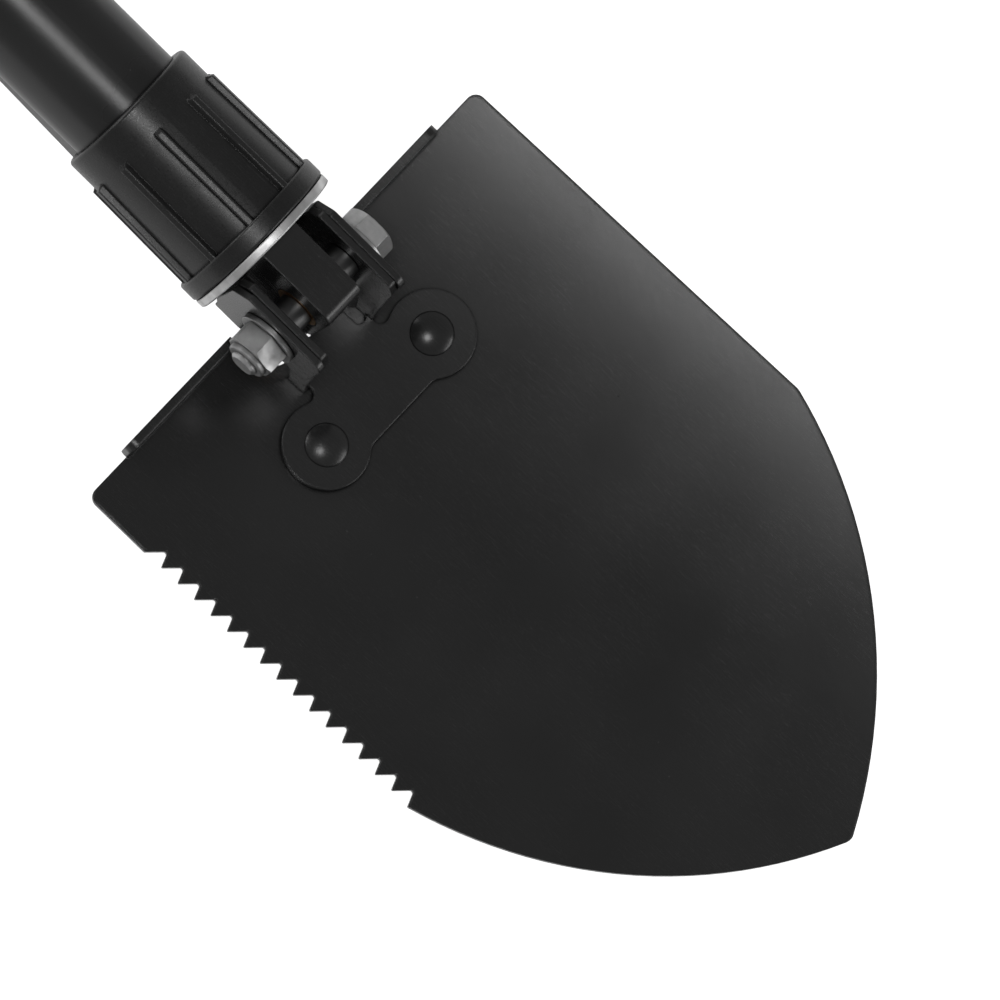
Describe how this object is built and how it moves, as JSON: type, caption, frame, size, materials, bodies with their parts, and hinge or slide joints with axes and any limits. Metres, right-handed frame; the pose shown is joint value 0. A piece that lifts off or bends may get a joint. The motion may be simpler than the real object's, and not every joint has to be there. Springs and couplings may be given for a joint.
{
  "type": "folding camp shovel",
  "caption": "Folding camp shovel with a pointed saw-edged steel blade, a stowed pick, a screw-down locking collar and a tube handle with a screw cap.",
  "frame": {"origin": "centre of the end cap's flat face, at the handle's free end", "axes": "+X along the shovel from the handle to the blade's tip, +Y towards the pivot bolt's head, +Z out of the blade's hollow front face"},
  "size_m": [0.4195, 0.154, 0.0561],
  "materials": {
    "painted_steel": "satin black paint, worn at the edges",
    "zinc_steel": "zinc plated",
    "bronze": "plain",
    "nylon": "moulded black",
    "seal_rubber": "matt"
  },
  "bodies": {
    "handle": {"handle_tube": "painted_steel", "thread_sleeve": "zinc_steel", "hinge_tongue": "painted_steel", "tongue_bush": "bronze", "cross_pins": "zinc_steel", "pivot_bolt": "zinc_steel", "pivot_nut": "zinc_steel", "nut_insert": "nylon", "pivot_washers": "zinc_steel", "pivot_spacers": "zinc_steel", "end_insert": "nylon", "insert_rivets": "zinc_steel"},
    "blade": {"blade": "painted_steel", "blade_bracket": "painted_steel", "blade_rivets": "painted_steel"},
    "pick": {"pick": "painted_steel"},
    "pressure_ring": {"pressure_ring": "zinc_steel", "ring_clip": "zinc_steel"},
    "locking_collar": {"locking_collar": "nylon"},
    "cap_seal": {"cap_seal": "seal_rubber"},
    "end_cap": {"end_cap": "nylon"}
  },
  "joints": [
    {"name": "blade_fold", "type": "hinge", "parent": "handle", "child": "blade", "pos_m": [0.216, 0, 0], "axis": [0, -1, 0], "range_deg": [0, 175]},
    {"name": "pick_swing", "type": "hinge", "parent": "handle", "child": "pick", "pos_m": [0.216, 0, 0], "axis": [0, -1, 0], "range_deg": [0, 45]},
    {"name": "ring_travel", "type": "slide", "parent": "handle", "child": "pressure_ring", "axis": [1, 0, 0], "range_m": [-0.00605, 0.00142]},
    {"name": "collar_turn", "type": "hinge", "parent": "pressure_ring", "child": "locking_collar", "pos_m": [0.16, 0, 0], "axis": [1, 0, 0], "range_deg": [-360, 84]},
    {"name": "cap_travel", "type": "slide", "parent": "handle", "child": "cap_seal", "axis": [-1, 0, 0], "range_m": [0, 0.0121]},
    {"name": "cap_turn", "type": "hinge", "parent": "cap_seal", "child": "end_cap", "pos_m": [0.01, 0, 0], "axis": [-1, 0, 0], "range_deg": [0, 1440]}
  ],
  "couplings": [
    {"joint": "ring_travel", "follows": "collar_turn", "m_per_rad": 0.00095493},
    {"joint": "cap_travel", "follows": "cap_turn", "m_per_rad": 0.00047746}
  ]
}
